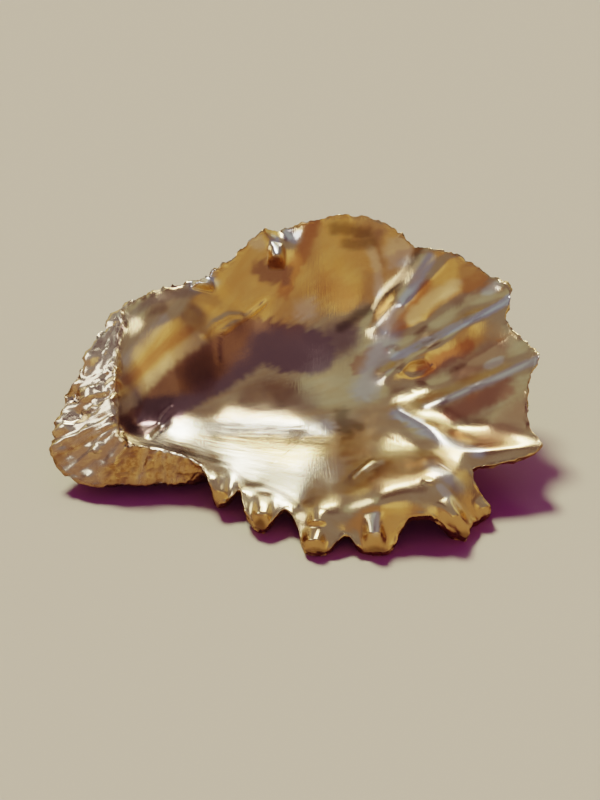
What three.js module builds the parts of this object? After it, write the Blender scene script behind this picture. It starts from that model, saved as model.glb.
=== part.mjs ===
// One valve of a plicate oyster, gilded all over, resting on its belly and its front teeth.
// Millimetres, Z up. X runs from the hinge end (-) to the fluted end (+), and Y from the toothed
// front lip (-) to the tall back wall (+). The origin is on the table, under the middle.
import * as THREE from "three";
import { mergeVertices } from "three/addons/utils/BufferGeometryUtils.js";

// Driving dimensions
const shellLength = 90; // hinge end to fluted end
const drawnLength = 90; // the length at which the points below are given
const lipThickness = 1.5; // at the back lip and the flutes
const toothThickness = 2.4;
const bellyThickness = 7.6; // under the middle of the hollow

// The lip, anticlockwise from the hinge end as seen from above: x, y, z of its inner edge
const lip = [
  [-33, -3.5, 15], // hinge end
  [-32.5, -5.5, 13],
  [-31, -7.9, 11.3], // near hinge corner
  [-27.5, -7.9, 10.3],
  [-24, -8.2, 9.7],
  [-20.5, -9, 9.1],
  [-17.5, -10.2, 8.2],
  [-15.5, -13.5, 7], // first tooth
  [-14.5, -14.5, 3],
  [-12.9, -14.9, 3],
  [-11.2, -14.6, 4.6],
  [-10, -14.5, 5.6], // gap
  [-9, -18.2, 4.4], // second tooth
  [-7.5, -20.5, 2.5],
  [-6, -21, 1.6],
  [-5, -20.8, 2],
  [-3.6, -20, 3.9],
  [-1.5, -19, 4.8], // gap
  [0.5, -22.3, 3.1], // third tooth
  [1.4, -25.8, 1.8],
  [2.5, -26.5, 1],
  [5, -26.6, 1],
  [6.2, -26.4, 1.8],
  [7, -26, 2.8],
  [9, -24.4, 3.4], // gap
  [10.8, -26.2, 2.5], // fourth tooth
  [12, -26.4, 1.4],
  [14, -26.6, 1],
  [16.3, -26.3, 1],
  [17.5, -25.3, 2],
  [18.5, -24.2, 4],
  [20.5, -23.4, 6.5], // front bay
  [23.5, -23.7, 7],
  [25.5, -23.5, 5.5],
  [27.5, -23, 2.5], // fifth tooth
  [29, -22.7, 1.4],
  [30.4, -22.5, 1],
  [31.5, -20.5, 3],
  [33, -18.3, 1.8], // small sixth tooth
  [35, -16.8, 2.5],
  [34, -16, 4.5],
  [32.2, -15, 7.4], // front right turn
  [32.5, -12.5, 9],
  [38.5, -11, 9.3],
  [44.5, -8.3, 10.3], // rib D
  [43, -5, 12.3],
  [42.5, -1, 15], // flute CD
  [43.2, 3, 18],
  [45, 6.5, 20], // rib C
  [43.8, 9, 21.3],
  [41, 11.5, 22.5], // flute BC
  [39.5, 14, 23.8],
  [40.3, 17, 26], // rib B
  [40, 19.5, 27.5],
  [37.5, 21, 28.8], // flute AB
  [34.5, 22, 30.5],
  [30, 24, 32], // small rib
  [26.5, 25, 32.3], // rib A
  [22.5, 25.5, 33.2],
  [20, 26, 35.5], // big lobe
  [15.5, 28, 37.3],
  [10, 28.7, 38],
  [5.5, 28.3, 37.6],
  [1.5, 28.5, 36.3],
  [-1.5, 30.2, 34.2],
  [-3.6, 30, 33.6], // second spout
  [-6, 26.8, 36], // peak
  [-9.5, 25, 33.5],
  [-12.5, 23.5, 31.5], // shoulder
  [-15, 22.4, 29.8],
  [-17.8, 22.3, 27.4], // first spout
  [-20.8, 20, 28.2],
  [-25, 18.5, 27.8], // left lobe
  [-29, 17, 26.8],
  [-32, 15.5, 25.5],
  [-32.5, 12, 23.5],
  [-33, 8, 21],
  [-33.2, 4, 18.8],
  [-33.3, 0, 16.8],
];

// Places on the inner face inside the lip: x, y, z
const hollow = [
  // near slope and the floor of the hollow, from the hinge end to the middle
  [-29.5, -5, 11],
  [-29, -2, 10.6],
  [-28, 1, 10.6],
  [-28, 4, 12.7],
  [-28, 7, 17],
  [-28, 9.5, 21.5],
  [-28, 12.5, 25],
  [-21.5, -4.7, 8.7],
  [-21.5, 0, 9.4],
  [-21.5, 4, 10.6],
  [-21.5, 7.5, 14.6],
  [-21.5, 10.5, 19],
  [-21.5, 13.5, 24.5],
  [-14.5, -5.6, 6.9],
  [-14.5, -1.4, 7.3],
  [-14.5, 4.5, 7.8],
  [-14.5, 8.5, 9.1],
  [-14.5, 12, 11.5],
  [-14.5, 15, 15.4],
  [-14.5, 17.6, 19.8],
  [-7.5, -12.1, 5.5],
  [-7.5, -5.5, 5.9],
  [-7.5, -0.8, 6.3],
  [-7.5, 5.5, 6.8],
  [-7.5, 10.5, 8.4],
  [-7.5, 14.5, 10.8],
  [-7.5, 18, 14.2],
  [-7.5, 21.5, 18.6],
  [-7.5, 24, 26.5],
  [1, -17, 5.2],
  [1, -8.3, 5.5],
  [1, -0.8, 6.2],
  [1, 5, 6.5],
  [1, 9.5, 7.9],
  [1, 13.8, 10.2],
  [1, 17.5, 13.5],
  [1, 20.6, 17.3],
  [1, 23.6, 23.5],
  [1, 26, 30],
  [8, -19.4, 7.2],
  [8, -13.5, 6.8],
  [8, -5.7, 6.8],
  [8, 0, 6.9],
  [8, 6, 8.4],
  [8, 12, 11.4],
  [8, 17, 15],
  [8, 21, 19],
  [8, 24, 24.5],
  [8, 26.3, 31],
  // floors of the two spouts, and the folds on either side of them
  [-17.5, 19.3, 26.6],
  [-17.3, 17.8, 23.5],
  [-3.2, 27, 32.6],
  [-2.8, 25.2, 29.5],
  [-6.8, 25, 31],
  // plateau and front right
  [15, -20.5, 10.2],
  [15, -13, 9.3],
  [15, -5, 9.2],
  [15, 1, 9.9],
  [15, 6, 11.2],
  [15, 12, 13.8],
  [15, 16, 16],
  [15, 25, 27],
  [22, -18.5, 11.1],
  [22, -12, 10.3],
  [22, -6.5, 10],
  [28, -17, 10.3],
  [28, -12.5, 10.7],
  // lip crests above the teeth
  [-13.2, -8.4, 6.5],
  [-6, -13.8, 5.6],
  [3.7, -20.8, 6.5],
  [14.3, -22.8, 9.1],
  [25, -20.6, 9.8],
  // front face between the crests and the tips
  [-13.2, -12.2, 5],
  [-5.8, -18.3, 4.2],
  [3.7, -24, 4],
  [13.8, -24.6, 4.4],
  // crest A, the small rib, crest B, crest C and crest D, with the flutes between them
  [15, 19, 18.2],
  [20.2, 21.7, 25],
  [15, 22, 20.8],
  [20.5, 24.5, 30],
  [20.2, 18.8, 23.2],
  [25.5, 21.5, 27.5],
  [20.7, 15.5, 18.2],
  [24.5, 18, 20.4],
  [32, 20.5, 25],
  [18.3, 10, 14.5],
  [24.5, 12, 17.6],
  [32, 14.5, 21.6],
  [21, 6.5, 12.2],
  [24.5, 8.6, 13.2],
  [32, 10.6, 16.3],
  [37, 11.5, 19.5],
  [26, 3, 12],
  [32, 4.2, 14.3],
  [38.5, 5.4, 17],
  [30, -2.4, 10.2],
  [36, -1.4, 11],
  [19.2, 2, 11.1],
  [25, -4.5, 11.3],
  [30, -9.5, 10.6],
  [37, -9.3, 10.2],
];

// Narrow crests raised on the inner face, each along a path of places on it
const crests = [
  { height: 0.8, width: 1.3, path: [[15, 19, 18.5], [20.2, 21.7, 25.5], [26.5, 25, 32.3]] }, // A
  { height: 0.7, width: 1.2, path: [[20.2, 18.8, 23.5], [25.5, 21.5, 27.5], [30, 24, 32]] }, // small
  { height: 1, width: 1.4, path: [[17, 9.5, 14], [24.5, 12, 18], [32, 14.5, 22], [40.3, 17, 26]] }, // B
  { height: 1, width: 1.4, path: [[24, 2.8, 11.5], [32, 4.2, 14.7], [45, 6.5, 20]] }, // C
  {
    height: 0.8, // D
    width: 1.4,
    path: [[19, 2, 11.3], [25, -4.5, 11.5], [30, -9.5, 10.9], [44.5, -8.3, 10.3]],
  },
];

// Fingers of the front teeth, from the crest to the tip: each juts out nearly level for the share
// `ramp` of its path, then falls to the tip
const fingers = [
  { height: 1.9, width: 1.5, ramp: 0.65, path: [[-13.2, -9.4, 7.2], [-13.6, -15.5, 2.5]] },
  { height: 2, width: 1.6, ramp: 0.6, path: [[-5.5, -15.6, 6.8], [-6, -21.5, 1.6]] },
  { height: 1.1, width: 1.3, ramp: 0.65, path: [[3.9, -21.7, 7.3], [3.7, -23.7, 4.4]] },
  { height: 2, width: 1.7, ramp: 0.56, path: [[3.4, -23.3, 5], [3.2, -27, 1]] },
  { height: 2.6, width: 1.7, ramp: 0.52, path: [[13.6, -23.8, 8.3], [14, -27, 1]] },
  { height: 2.8, width: 1.7, ramp: 0.5, path: [[25.6, -21.4, 9.6], [30.3, -23, 0.8]] },
  { height: 1.5, width: 1.2, ramp: 0.55, path: [[32.4, -16.4, 5.4], [34.6, -17.4, 1.8]] },
];

// The heavy hinge block: how far its outer edge stands from the lip, by place along the lip
const hingeEdge = [
  { at: -6, reach: [-0.5, 0.6, -0.9] },
  { at: -5, reach: [-1.5, 0.5, -0.9] },
  { at: -4, reach: [-3, 0, -1] },
  { at: -3, reach: [-5.5, -0.5, -1.5] },
  { at: -2, reach: [-8.5, -0.5, -3] },
  { at: -1, reach: [-10.5, -0.5, -4.5] },
  { at: 0, reach: [-11.8, -0.5, -6] },
  { at: 1, reach: [-11.5, -1, -8] },
  { at: 2, reach: [-7, -2, -8] },
  { at: 3, reach: [-2, -1.8, -7] },
  { at: 4, reach: [0, -1.4, -6.3] },
  { at: 5, reach: [0, -0.8, -5.4] },
];

// Lumps (out) and pits (in) of the broken rim and the hinge block: centre, size and height
const lumps = [
  { at: [-42, -3, 11], size: 2.5, height: 0.9 },
  { at: [-39, 1.5, 16], size: 2.2, height: 1 },
  { at: [-36.5, 7.5, 19.5], size: 2.4, height: 0.9 },
  { at: [-37.5, -4.5, 13], size: 2, height: 0.8 },
  { at: [-34.8, 12.5, 23.5], size: 2, height: 0.7 },
  { at: [-40.3, 2.2, 14.2], size: 1.3, height: -2 },
  { at: [-39.8, -1.2, 12.8], size: 1.4, height: -2.2 },
  { at: [-43, -6, 7], size: 2, height: 0.8 },
  { at: [-34, -9.5, 8], size: 2.2, height: 0.8 },
  { at: [-26, -11, 8], size: 2, height: 0.7 },
];

// How finely the faces and the rim are divided
const faceSteps = 46;
const rimSteps = 4;
const slabCorners = [2, 21, 44, 61]; // places along the lip

const heart = [6, 4, 9];

// Growth steps and folds of the outer face, spreading from the beak
const beak = [-44, 0, 6];
const growthStep = 8;
const growthHeight = 1.1;
const foldCount = 13; // round the full circle about the beak, so about five on the face
const foldHeight = 0.8;

const clamp = (x, low, high) => Math.min(high, Math.max(low, x));
const smooth = (x) => clamp(x, 0, 1) ** 2 * (3 - 2 * clamp(x, 0, 1));

// The hollow is drawn as a height over the plane of its lip, which leans towards the front:
// across runs along X, along runs up the leaning plane, and height stands square to it
const lean = Math.atan2(3, 4);
const toPlane = ([x, y, z]) => [
  x,
  y * Math.cos(lean) + z * Math.sin(lean),
  z * Math.cos(lean) - y * Math.sin(lean),
];
const fromPlane = (across, along, height) =>
  new THREE.Vector3(
    across,
    along * Math.cos(lean) - height * Math.sin(lean),
    along * Math.sin(lean) + height * Math.cos(lean),
  );

// Thin plate through the given heights: weights for each point and a flat part
function thinPlate(points, stiffness) {
  const n = points.length;
  const bend = (d2) => (d2 > 0 ? 0.5 * d2 * Math.log(d2) : 0);
  const rows = points.map(([x, y, h], i) => [
    ...points.map(([p, q], j) => (i === j ? stiffness : bend((x - p) ** 2 + (y - q) ** 2))),
    1,
    x,
    y,
    h,
  ]);
  rows.push([...points.map(() => 1), 0, 0, 0, 0]);
  rows.push([...points.map((p) => p[0]), 0, 0, 0, 0]);
  rows.push([...points.map((p) => p[1]), 0, 0, 0, 0]);
  const size = n + 3;
  for (let k = 0; k < size; k++) {
    let best = k;
    for (let i = k + 1; i < size; i++) if (Math.abs(rows[i][k]) > Math.abs(rows[best][k])) best = i;
    [rows[k], rows[best]] = [rows[best], rows[k]];
    for (let i = 0; i < size; i++) {
      if (i === k) continue;
      const ratio = rows[i][k] / rows[k][k];
      for (let j = k; j <= size; j++) rows[i][j] -= ratio * rows[k][j];
    }
  }
  const weight = rows.map((row, i) => row[size] / row[i]);
  return (x, y) => {
    let h = weight[n] + weight[n + 1] * x + weight[n + 2] * y;
    for (let i = 0; i < n; i++) h += weight[i] * bend((x - points[i][0]) ** 2 + (y - points[i][1]) ** 2);
    return h;
  };
}

const lipPlane = lip.map(toPlane);
const plate = thinPlate([...lipPlane, ...hollow.map(toPlane)], 0.5);
const centre = toPlane(heart);

// A cubic through four evenly spaced values, between the middle two
function cubic(p, q, r, s, t) {
  return q + 0.5 * t * (r - p + t * (2 * p - 5 * q + 4 * r - s + t * (3 * (q - r) + s - p)));
}

// The lip's place in the leaning plane, u running once round the list of lip points
function lipAt(u) {
  const i = Math.floor(u);
  return [0, 1].map((axis) =>
    cubic(...[-1, 0, 1, 2].map((k) => lipPlane[(i + k + lip.length) % lip.length][axis]), u - i),
  );
}

function planePlace(u, r) {
  const [x, y] = lipAt(u);
  return [centre[0] + (x - centre[0]) * r, centre[1] + (y - centre[1]) * r];
}

// Distance in the plane from a place to a path, or past its ends
function pathDistance(x, y, path) {
  let least = Infinity;
  for (let i = 0; i + 1 < path.length; i++) {
    const [px, py] = path[i];
    const [qx, qy] = path[i + 1];
    const length2 = (qx - px) ** 2 + (qy - py) ** 2;
    const t = clamp(((x - px) * (qx - px) + (y - py) * (qy - py)) / length2, 0, 1);
    least = Math.min(least, Math.hypot(x - px - t * (qx - px), y - py - t * (qy - py)));
  }
  return least;
}

const inPlane = (lines) => lines.map((line) => ({ ...line, path: line.path.map(toPlane) }));
const crestLines = inPlane(crests);
const fingerLines = inPlane(fingers);

// How high a finger stands at a place in the plane
function fingerHeight(x, y, finger) {
  const [[px, py], [qx, qy]] = finger.path;
  const length = Math.hypot(qx - px, qy - py);
  const along = ((x - px) * (qx - px) + (y - py) * (qy - py)) / length ** 2;
  const away = ((x - px) * (qy - py) - (y - py) * (qx - px)) / length / finger.width;
  const rise = clamp(along / finger.ramp, 0, 1);
  const fall = smooth((along - finger.ramp) / (1 - finger.ramp));
  return finger.height * rise * (1 - 0.9 * fall) * Math.exp(-(Math.abs(away) ** 3));
}

// The inner face at a place in the plane
function faceHeight(x, y) {
  let height = plate(x, y);
  for (const crest of crestLines) {
    const d = pathDistance(x, y, crest.path) / crest.width;
    if (d < 4) height += crest.height * Math.exp(0.4 - Math.hypot(d, 0.4));
  }
  for (const finger of fingerLines) height += fingerHeight(x, y, finger);
  return height;
}

function innerPoint(u, r) {
  const [x, y] = planePlace(u, r);
  return fromPlane(x, y, faceHeight(x, y));
}

// How much of the block of the hinge, or of the teeth, is felt at a place along the lip
function share(u, from, to, fade) {
  const middle = (from + to) / 2;
  const ring = lip.length;
  const away = Math.abs(((u - middle + 1.5 * ring) % ring) - ring / 2);
  return smooth(((to - from) / 2 + fade - away) / fade);
}

// How thick the shell is, square to its face: heavy at the belly, thin at the back lip
function thickness(u, r) {
  const edge = lipThickness + (toothThickness - lipThickness) * share(u, 6, 40, 3);
  return bellyThickness + (edge - bellyThickness) * smooth((r - 0.25) / 0.75);
}

// Shingled growth steps, each standing proud of the next, crossed by rounded folds
function growth(x, y, r) {
  const [bx, by] = toPlane(beak);
  const far = Math.hypot(x - bx, y - by);
  const turn = Math.atan2(y - by, x - bx);
  const wave = Math.cos(turn * foldCount);
  const place = far / growthStep + 0.25 * wave + 0.15 * Math.sin(turn * 29);
  const step = place - Math.floor(place);
  const rise = step * smooth((1 - step) / 0.25);
  const fold = foldHeight * wave * smooth((far - 15) / 30);
  return (growthHeight * rise + fold) * smooth((r - 0.3) / 0.2) * smooth((1.02 - r) / 0.12);
}

// How far the outer face stands from the inner one, straight down through the leaning plane
function depth(u, r) {
  const [x, y] = planePlace(u, r);
  const step = 0.8;
  const slopeX = (plate(x + step, y) - plate(x - step, y)) / (2 * step);
  const slopeY = (plate(x, y + step) - plate(x, y - step)) / (2 * step);
  return (thickness(u, r) + growth(x, y, r)) * Math.min(1.7, Math.hypot(1, slopeX, slopeY));
}

// The reach of the hinge block's edge at a place along the lip
function blockReach(u) {
  const place = u > lip.length / 2 ? u - lip.length : u;
  const first = hingeEdge[0].at;
  const i = clamp(Math.floor(place - first), 0, hingeEdge.length - 2);
  const t = clamp(place - first - i, 0, 1);
  const reach = hingeEdge[i].reach.map((v, k) => v + (hingeEdge[i + 1].reach[k] - v) * t);
  return new THREE.Vector3(...reach);
}

// Nothing reaches below the table: a point under it slides back along the leaning axis
function onTable(point) {
  const [across, along, height] = toPlane(point.toArray());
  return fromPlane(across, along, Math.max(height, -along * Math.tan(lean)));
}

function outerPoint(u, r) {
  const [x, y] = planePlace(u, r);
  const point = fromPlane(x, y, plate(x, y));
  const offset = fromPlane(0, 0, -depth(u, r));
  const hinge = share(u, hingeEdge[0].at, hingeEdge.at(-1).at, 1.5);
  point.add(offset.lerp(blockReach(u), hinge * smooth((r - 0.55) / 0.45)));
  point.z -= 2 * hinge * Math.sin(Math.PI * clamp((1 - r) / 0.5, 0, 1));
  return point;
}

// The place along the lip for a direction on the slab, whose corners go where the lip bulges
function lipPlace(angle) {
  const quarter = angle / (Math.PI / 2) + 1.5;
  const k = Math.floor(quarter);
  const ring = lip.length;
  const from = k < 0 ? slabCorners[3] - ring : slabCorners[k];
  const to = k < 3 ? slabCorners[k + 1] : slabCorners[0] + ring;
  return (from + (to - from) * (quarter - k) + ring) % ring;
}

// A place of the broken rim, pushed out by the lumps and in by the pits
function roughened(point) {
  const moved = point.clone();
  for (const lump of lumps) {
    const d = point.distanceTo(new THREE.Vector3(...lump.at)) / lump.size;
    const push = lump.height * Math.exp(-d * d);
    moved.add(fromPlane(-0.45 * push, 0, 0.9 * push));
  }
  return moved;
}

// One valve: a slab whose top becomes the inner face, its bottom the outer and its sides the rim
function valve() {
  const geometry = new THREE.BoxGeometry(2, 2, 1, faceSteps, faceSteps, rimSteps);
  const position = geometry.attributes.position;
  for (let i = 0; i < position.count; i++) {
    const a = position.getX(i);
    const b = position.getY(i);
    const level = position.getZ(i);
    const x = a * Math.sqrt(1 - b ** 2 / 2);
    const y = b * Math.sqrt(1 - a ** 2 / 2);
    const r = Math.min(1, Math.hypot(x, y));
    const u = lipPlace(Math.atan2(y, x));
    let point;
    if (level > 0.499) point = innerPoint(u, r);
    else if (level < -0.499) point = outerPoint(u, r);
    else point = roughened(innerPoint(u, 1).lerp(outerPoint(u, 1), 0.5 - level));
    point = onTable(point);
    position.setXYZ(i, point.x, point.y, point.z);
  }
  geometry.deleteAttribute("normal");
  geometry.deleteAttribute("uv");
  const scale = shellLength / drawnLength;
  geometry.scale(scale, scale, scale);
  geometry.computeBoundingBox();
  const middle = geometry.boundingBox.getCenter(new THREE.Vector3());
  geometry.translate(-middle.x, -middle.y, 0);
  return mergeVertices(geometry, 1e-4);
}

const gilding = new THREE.MeshStandardMaterial({
  name: "gilding",
  color: 0xc9a24a,
  roughness: 0.25,
  metalness: 1,
});

const shell = new THREE.Mesh(valve(), gilding);
shell.name = "oyster_valve";

const group = new THREE.Group();
group.add(shell);
export default group;
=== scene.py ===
import math

import bmesh
import bpy
import numpy as np
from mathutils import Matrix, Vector


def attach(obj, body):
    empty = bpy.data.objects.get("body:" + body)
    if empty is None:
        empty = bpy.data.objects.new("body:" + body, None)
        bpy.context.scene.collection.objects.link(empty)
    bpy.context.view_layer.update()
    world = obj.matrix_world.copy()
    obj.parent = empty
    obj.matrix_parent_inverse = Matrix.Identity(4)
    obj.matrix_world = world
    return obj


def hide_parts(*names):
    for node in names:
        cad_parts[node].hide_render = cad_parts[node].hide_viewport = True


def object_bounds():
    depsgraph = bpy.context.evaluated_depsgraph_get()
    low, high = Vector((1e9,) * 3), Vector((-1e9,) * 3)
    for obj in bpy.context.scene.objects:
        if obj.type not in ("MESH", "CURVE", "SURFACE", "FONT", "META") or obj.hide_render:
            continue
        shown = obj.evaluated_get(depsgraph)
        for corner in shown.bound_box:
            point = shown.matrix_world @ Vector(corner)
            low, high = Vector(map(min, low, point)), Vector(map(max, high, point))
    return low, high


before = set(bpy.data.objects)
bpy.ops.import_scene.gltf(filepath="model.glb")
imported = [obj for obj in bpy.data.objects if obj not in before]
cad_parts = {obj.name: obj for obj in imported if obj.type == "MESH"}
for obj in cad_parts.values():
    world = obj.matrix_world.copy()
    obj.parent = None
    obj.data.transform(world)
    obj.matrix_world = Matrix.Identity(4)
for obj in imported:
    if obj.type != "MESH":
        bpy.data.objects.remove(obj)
cadLow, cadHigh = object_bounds()
print("stage 1: the packed shell is loaded")

mm = 0.001

# The shell is drawn in millimetres as in the CAD, then moved so that its middle is the origin
shell = {
    "drawnMiddle": (0.13, 2.21),
    "lipThickness": 1.5,
    "toothThickness": 2.4,
    "bellyThickness": 7.6,
    "heart": (6, 4, 9),  # the place in the hollow that the faces are spread from
    "beak": (-44, 0, 6),  # the growth lines start here
    "fan": (-37, -3, 13),  # the fine lines of the inner face spread from here
    "growthStep": 8,
    "growthHeight": 1.1,
    "foldCount": 13,
    "foldHeight": 0.8,
    "slabCorners": (2, 21, 44, 61),  # places along the lip
    "faceSteps": 196,
    "rimRings": 15,
    "teeth": (6, 40),  # places along the lip between which the teeth stand
    "block": (-9, 4),  # and the heavy hinge block
    "stiffness": 0.5,  # how far the plate through the points may pass them by
    "steepest": 1.7,  # limit of how much a steep wall is thickened
    "slopeStep": 0.8,
    "lean": math.atan2(3, 4),  # how far the plane of the lip leans towards the front
}

# The lip, anticlockwise from the hinge end as seen from above: x, y, z of its inner edge
lip = [
    [-33, -3.5, 15],  # hinge end
    [-32.5, -5.5, 13],
    [-31, -7.9, 11.3],  # near hinge corner
    [-27.5, -7.9, 10.3],
    [-24, -8.2, 9.7],
    [-20.5, -9, 9.1],
    [-17.5, -10.2, 8.2],
    [-15.5, -13.5, 7],  # first tooth
    [-14.5, -14.5, 3],
    [-12.9, -14.9, 3],
    [-11.2, -14.6, 4.6],
    [-10, -14.5, 5.6],  # gap
    [-9, -18.2, 4.4],  # second tooth
    [-7.5, -20.5, 2.5],
    [-6, -21, 1.6],
    [-5, -20.8, 2],
    [-3.6, -20, 3.9],
    [-1.5, -19, 4.8],  # gap
    [0.5, -22.3, 3.1],  # third tooth
    [1.4, -25.8, 1.8],
    [2.5, -26.5, 1],
    [5, -26.6, 1],
    [6.2, -26.4, 1.8],
    [7, -26, 2.8],
    [9, -24.4, 3.4],  # gap
    [10.8, -26.2, 2.5],  # fourth tooth
    [12, -26.4, 1.4],
    [14, -26.6, 1],
    [16.3, -26.3, 1],
    [17.5, -25.3, 2],
    [18.5, -24.2, 4],
    [20.5, -23.4, 6.5],  # front bay
    [23.5, -23.7, 7],
    [25.5, -23.5, 5.5],
    [27.5, -23, 2.5],  # fifth tooth
    [29, -22.7, 1.4],
    [30.4, -22.5, 1],
    [31.5, -20.5, 3],
    [33, -18.3, 1.8],  # small sixth tooth
    [35, -16.8, 2.5],
    [34, -16, 4.5],
    [32.2, -15, 7.4],  # front right turn
    [32.5, -12.5, 9],
    [38.5, -11, 9.3],
    [44.5, -8.3, 10.3],  # rib D
    [43, -5, 12.3],
    [42.5, -1, 15],  # flute CD
    [43.2, 3, 18],
    [45, 6.5, 20],  # rib C
    [43.8, 9, 21.3],
    [41, 11.5, 22.5],  # flute BC
    [39.5, 14, 23.8],
    [40.3, 17, 26],  # rib B
    [40, 19.5, 27.5],
    [37.5, 21, 28.8],  # flute AB
    [34.5, 22, 30.5],
    [30, 24, 32],  # small rib
    [26.5, 25, 32.3],  # rib A
    [22.5, 25.5, 33.2],
    [20, 26, 35.5],  # big lobe
    [15.5, 28, 37.3],
    [10, 28.7, 38],
    [5.5, 28.3, 37.6],
    [1.5, 28.5, 36.3],
    [-1.5, 30.2, 34.2],
    [-3.6, 30, 33.6],  # second spout
    [-6, 26.8, 36],  # peak
    [-9.5, 25, 33.5],
    [-12.5, 23.5, 31.5],  # shoulder
    [-15, 22.4, 29.8],
    [-17.8, 22.3, 27.4],  # first spout
    [-20.8, 20, 28.2],
    [-25, 18.5, 27.8],  # left lobe
    [-29, 17, 26.8],
    [-32, 15.5, 25.5],
    [-32.5, 12, 23.5],
    [-33, 8, 21],
    [-33.2, 4, 18.8],
    [-33.3, 0, 16.8],
]

# Places on the inner face inside the lip: x, y, z
hollow = [
    # near slope and the floor of the hollow, from the hinge end to the middle
    [-29.5, -5, 11],
    [-29, -2, 10.6],
    [-28, 1, 10.6],
    [-28, 4, 12.7],
    [-28, 7, 17],
    [-28, 9.5, 21.5],
    [-28, 12.5, 25],
    [-21.5, -4.7, 8.7],
    [-21.5, 0, 9.4],
    [-21.5, 4, 10.6],
    [-21.5, 7.5, 14.6],
    [-21.5, 10.5, 19],
    [-21.5, 13.5, 24.5],
    [-14.5, -5.6, 6.9],
    [-14.5, -1.4, 7.3],
    [-14.5, 4.5, 7.8],
    [-14.5, 8.5, 9.1],
    [-14.5, 12, 11.5],
    [-14.5, 15, 15.4],
    [-14.5, 17.6, 19.8],
    [-7.5, -12.1, 5.5],
    [-7.5, -5.5, 5.9],
    [-7.5, -0.8, 6.3],
    [-7.5, 5.5, 6.8],
    [-7.5, 10.5, 8.4],
    [-7.5, 14.5, 10.8],
    [-7.5, 18, 14.2],
    [-7.5, 21.5, 18.6],
    [-7.5, 24, 26.5],
    [1, -17, 5.2],
    [1, -8.3, 5.5],
    [1, -0.8, 6.2],
    [1, 5, 6.5],
    [1, 9.5, 7.9],
    [1, 13.8, 10.2],
    [1, 17.5, 13.5],
    [1, 20.6, 17.3],
    [1, 23.6, 23.5],
    [1, 26, 30],
    [8, -19.4, 7.2],
    [8, -13.5, 6.8],
    [8, -5.7, 6.8],
    [8, 0, 6.9],
    [8, 6, 8.4],
    [8, 12, 11.4],
    [8, 17, 15],
    [8, 21, 19],
    [8, 24, 24.5],
    [8, 26.3, 31],
    # floors of the two spouts, and the folds on either side of them
    [-17.5, 19.3, 26.6],
    [-17.3, 17.8, 23.5],
    [-3.2, 27, 32.6],
    [-2.8, 25.2, 29.5],
    [-6.8, 25, 31],
    # plateau and front right
    [15, -20.5, 10.2],
    [15, -13, 9.3],
    [15, -5, 9.2],
    [15, 1, 9.9],
    [15, 6, 11.2],
    [15, 12, 13.8],
    [15, 16, 16],
    [15, 25, 27],
    [22, -18.5, 11.1],
    [22, -12, 10.3],
    [22, -6.5, 10],
    [28, -17, 10.3],
    [28, -12.5, 10.7],
    # lip crests above the teeth
    [-13.2, -8.4, 6.5],
    [-6, -13.8, 5.6],
    [3.7, -20.8, 6.5],
    [14.3, -22.8, 9.1],
    [25, -20.6, 9.8],
    # front face between the crests and the tips
    [-13.2, -12.2, 5],
    [-5.8, -18.3, 4.2],
    [3.7, -24, 4],
    [13.8, -24.6, 4.4],
    # crest A, the small rib, crest B, crest C and crest D, with the flutes between them
    [15, 19, 18.2],
    [20.2, 21.7, 25],
    [15, 22, 20.8],
    [20.5, 24.5, 30],
    [20.2, 18.8, 23.2],
    [25.5, 21.5, 27.5],
    [20.7, 15.5, 18.2],
    [24.5, 18, 20.4],
    [32, 20.5, 25],
    [18.3, 10, 14.5],
    [24.5, 12, 17.6],
    [32, 14.5, 21.6],
    [21, 6.5, 12.2],
    [24.5, 8.6, 13.2],
    [32, 10.6, 16.3],
    [37, 11.5, 19.5],
    [26, 3, 12],
    [32, 4.2, 14.3],
    [38.5, 5.4, 17],
    [30, -2.4, 10.2],
    [36, -1.4, 11],
    [19.2, 2, 11.1],
    [25, -4.5, 11.3],
    [30, -9.5, 10.6],
    [37, -9.3, 10.2],
]

# Narrow crests raised on the inner face, each along a path of places on it
crests = [
    {"height": 0.8, "width": 1.3, "path": [[15, 19, 18.5], [20.2, 21.7, 25.5], [26.5, 25, 32.3]]},  # A
    {"height": 0.7, "width": 1.2, "path": [[20.2, 18.8, 23.5], [25.5, 21.5, 27.5], [30, 24, 32]]},  # small
    {"height": 1, "width": 1.4, "path": [[17, 9.5, 14], [24.5, 12, 18], [32, 14.5, 22], [40.3, 17, 26]]},  # B
    {"height": 1, "width": 1.4, "path": [[24, 2.8, 11.5], [32, 4.2, 14.7], [45, 6.5, 20]]},  # C
    {
        "height": 0.8,  # D
        "width": 1.4,
        "path": [[19, 2, 11.3], [25, -4.5, 11.5], [30, -9.5, 10.9], [44.5, -8.3, 10.3]],
    },
]

# Fingers of the front teeth, from the crest to the tip: each juts out nearly level for the share
# `ramp` of its path, then falls to the tip
fingers = [
    {"height": 1.9, "width": 1.5, "ramp": 0.65, "path": [[-13.2, -9.4, 7.2], [-13.6, -15.5, 2.5]]},
    {"height": 2, "width": 1.6, "ramp": 0.6, "path": [[-5.5, -15.6, 6.8], [-6, -21.5, 1.6]]},
    {"height": 1.1, "width": 1.3, "ramp": 0.65, "path": [[3.9, -21.7, 7.3], [3.7, -23.7, 4.4]]},
    {"height": 2, "width": 1.7, "ramp": 0.56, "path": [[3.4, -23.3, 5], [3.2, -27, 1]]},
    {"height": 2.6, "width": 1.7, "ramp": 0.52, "path": [[13.6, -23.8, 8.3], [14, -27, 1]]},
    {"height": 2.8, "width": 1.7, "ramp": 0.5, "path": [[25.6, -21.4, 9.6], [30.3, -23, 0.8]]},
    {"height": 1.5, "width": 1.2, "ramp": 0.55, "path": [[32.4, -16.4, 5.4], [34.6, -17.4, 1.8]]},
]

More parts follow.
